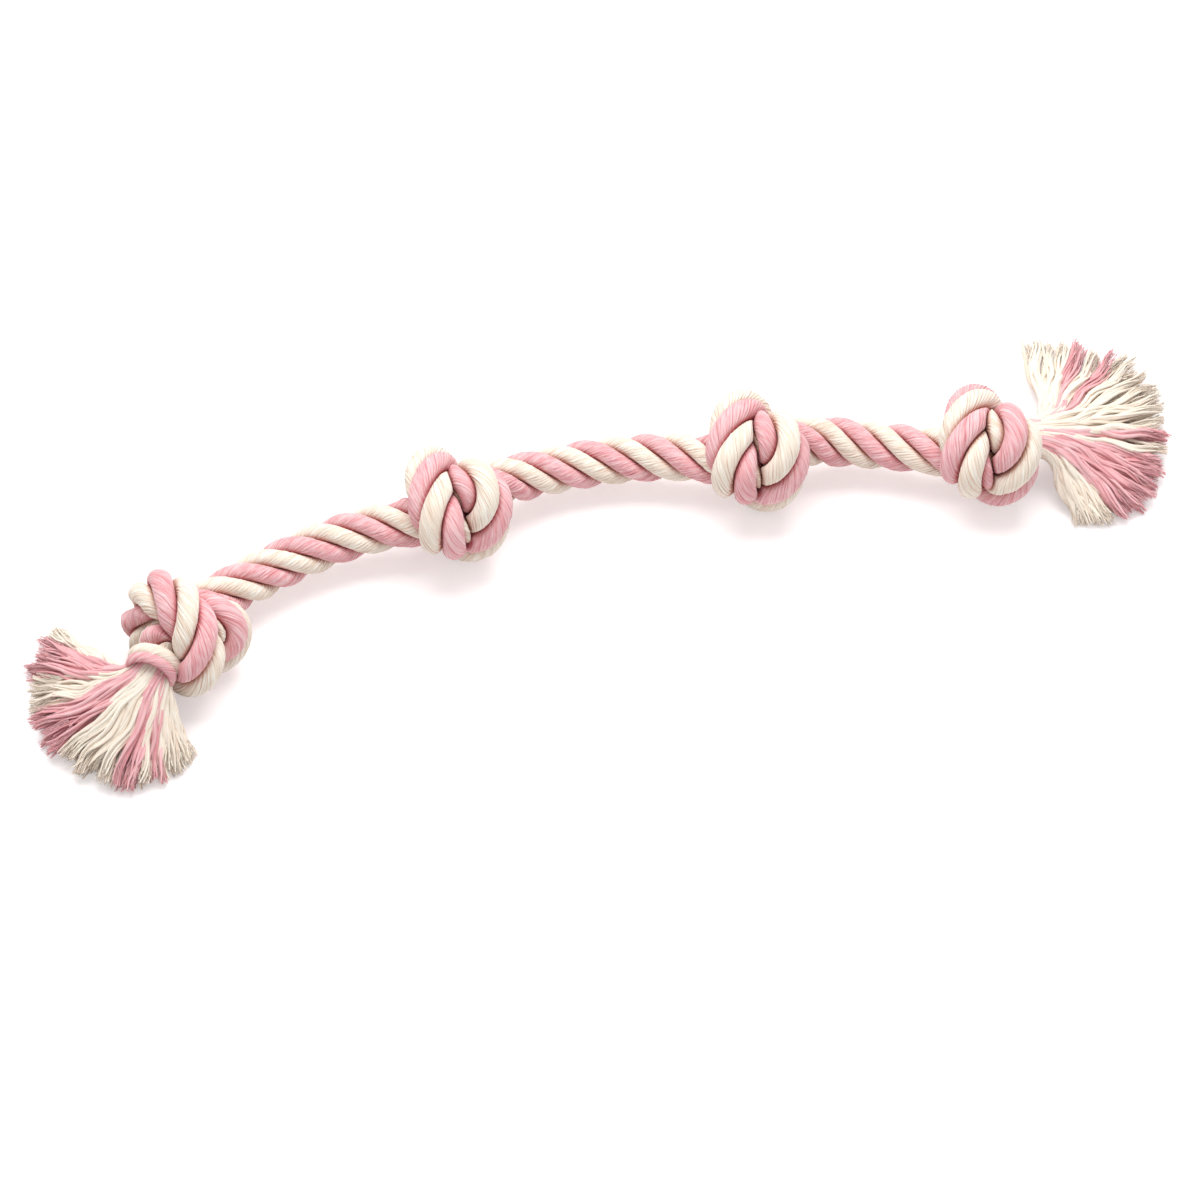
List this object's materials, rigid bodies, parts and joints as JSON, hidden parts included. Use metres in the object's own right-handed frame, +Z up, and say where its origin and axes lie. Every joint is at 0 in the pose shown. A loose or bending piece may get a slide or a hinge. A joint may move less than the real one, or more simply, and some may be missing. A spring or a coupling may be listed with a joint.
{
  "type": "rope dog toy",
  "caption": "Long tug toy of thick laid cotton rope, tied in tight overhand knots, with both ends let out into short tassels, lying on a floor.",
  "frame": {"origin": "centre of the bounding box on the floor, under the toy as it lies", "axes": "+X from the left tassel to the right one, +Y toward the back, +Z up"},
  "size_m": [0.5803, 0.1351, 0.0596],
  "materials": {
    "pink_cotton": "matt dyed cotton yarn, slightly fuzzy",
    "cream_cotton": "matt natural cotton yarn, slightly fuzzy"
  },
  "bodies": {
    "run_2": {"run_2_pink_strand_a": "pink_cotton", "run_2_cream_strand_a": "cream_cotton", "run_2_pink_strand_b": "pink_cotton", "run_2_cream_strand_b": "cream_cotton"},
    "knot_2": {"knot_2_pink_strand_a": "pink_cotton", "knot_2_cream_strand_a": "cream_cotton", "knot_2_pink_strand_b": "pink_cotton", "knot_2_cream_strand_b": "cream_cotton"},
    "run_1": {"run_1_pink_strand_a": "pink_cotton", "run_1_cream_strand_a": "cream_cotton", "run_1_pink_strand_b": "pink_cotton", "run_1_cream_strand_b": "cream_cotton"},
    "knot_1": {"knot_1_pink_strand_a": "pink_cotton", "knot_1_cream_strand_a": "cream_cotton", "knot_1_pink_strand_b": "pink_cotton", "knot_1_cream_strand_b": "cream_cotton"},
    "left_tassel": {"left_tassel_pink_strand_a": "pink_cotton", "left_tassel_cream_strand_a": "cream_cotton", "left_tassel_pink_strand_b": "pink_cotton", "left_tassel_cream_strand_b": "cream_cotton", "left_tassel_collar": "cream_cotton"},
    "knot_3": {"knot_3_pink_strand_a": "pink_cotton", "knot_3_cream_strand_a": "cream_cotton", "knot_3_pink_strand_b": "pink_cotton", "knot_3_cream_strand_b": "cream_cotton"},
    "run_3": {"run_3_pink_strand_a": "pink_cotton", "run_3_cream_strand_a": "cream_cotton", "run_3_pink_strand_b": "pink_cotton", "run_3_cream_strand_b": "cream_cotton"},
    "knot_4": {"knot_4_pink_strand_a": "pink_cotton", "knot_4_cream_strand_a": "cream_cotton", "knot_4_pink_strand_b": "pink_cotton", "knot_4_cream_strand_b": "cream_cotton"},
    "right_tassel": {"right_tassel_pink_strand_a": "pink_cotton", "right_tassel_cream_strand_a": "cream_cotton", "right_tassel_pink_strand_b": "pink_cotton", "right_tassel_cream_strand_b": "cream_cotton"}
  },
  "joints": [
    {"name": "knot_2_swing", "type": "hinge", "parent": "run_2", "child": "knot_2", "pos_m": [-0.01132, 0.0482, 0.02043], "axis": [0, 0, 1], "range_deg": [-45, 45], "deforming": ["run_2_pink_strand_a", "run_2_cream_strand_a", "run_2_pink_strand_b", "run_2_cream_strand_b"]},
    {"name": "run_1_lift", "type": "hinge", "parent": "knot_2", "child": "run_1", "pos_m": [-0.11976, 0.03651, 0.02106], "axis": [-0.0628, 0.998, 0], "range_deg": [-45, 45], "deforming": ["run_1_pink_strand_a", "run_1_cream_strand_a", "run_1_pink_strand_b", "run_1_cream_strand_b"]},
    {"name": "knot_1_swing", "type": "hinge", "parent": "run_1", "child": "knot_1", "pos_m": [-0.16608, 0.0265, 0.01986], "axis": [0, 0, 1], "range_deg": [-45, 45], "deforming": ["run_1_pink_strand_a", "run_1_cream_strand_a", "run_1_pink_strand_b", "run_1_cream_strand_b"]},
    {"name": "left_tassel_flop", "type": "hinge", "parent": "knot_1", "child": "left_tassel", "pos_m": [-0.21966, -0.00611, 0.0305], "axis": [-0.6955, 0.7185, 0], "range_deg": [-20, 45], "deforming": ["left_tassel_pink_strand_a", "left_tassel_cream_strand_a", "left_tassel_pink_strand_b", "left_tassel_cream_strand_b", "left_tassel_collar"]},
    {"name": "knot_3_lift", "type": "hinge", "parent": "run_2", "child": "knot_3", "pos_m": [0.03375, 0.04306, 0.02107], "axis": [0.2586, 0.966, 0], "range_deg": [-45, 45], "deforming": ["run_2_pink_strand_a", "run_2_cream_strand_a", "run_2_pink_strand_b", "run_2_cream_strand_b"]},
    {"name": "run_3_swing", "type": "hinge", "parent": "knot_3", "child": "run_3", "pos_m": [0.13069, 0.02488, 0.02239], "axis": [0, 0, 1], "range_deg": [-40, 40], "deforming": ["run_3_pink_strand_a", "run_3_cream_strand_a", "run_3_pink_strand_b", "run_3_cream_strand_b"]},
    {"name": "knot_4_lift", "type": "hinge", "parent": "run_3", "child": "knot_4", "pos_m": [0.15574, 0.01478, 0.02243], "axis": [0.4475, 0.8943, 0], "range_deg": [-40, 40], "deforming": ["run_3_pink_strand_a", "run_3_cream_strand_a", "run_3_pink_strand_b", "run_3_cream_strand_b"]},
    {"name": "right_tassel_flop", "type": "hinge", "parent": "knot_4", "child": "right_tassel", "pos_m": [0.21644, -0.00093, 0.02843], "axis": [-0.0339, 0.9994, 0], "range_deg": [-45, 20], "deforming": ["right_tassel_pink_strand_a", "right_tassel_cream_strand_a", "right_tassel_pink_strand_b", "right_tassel_cream_strand_b"]}
  ]
}
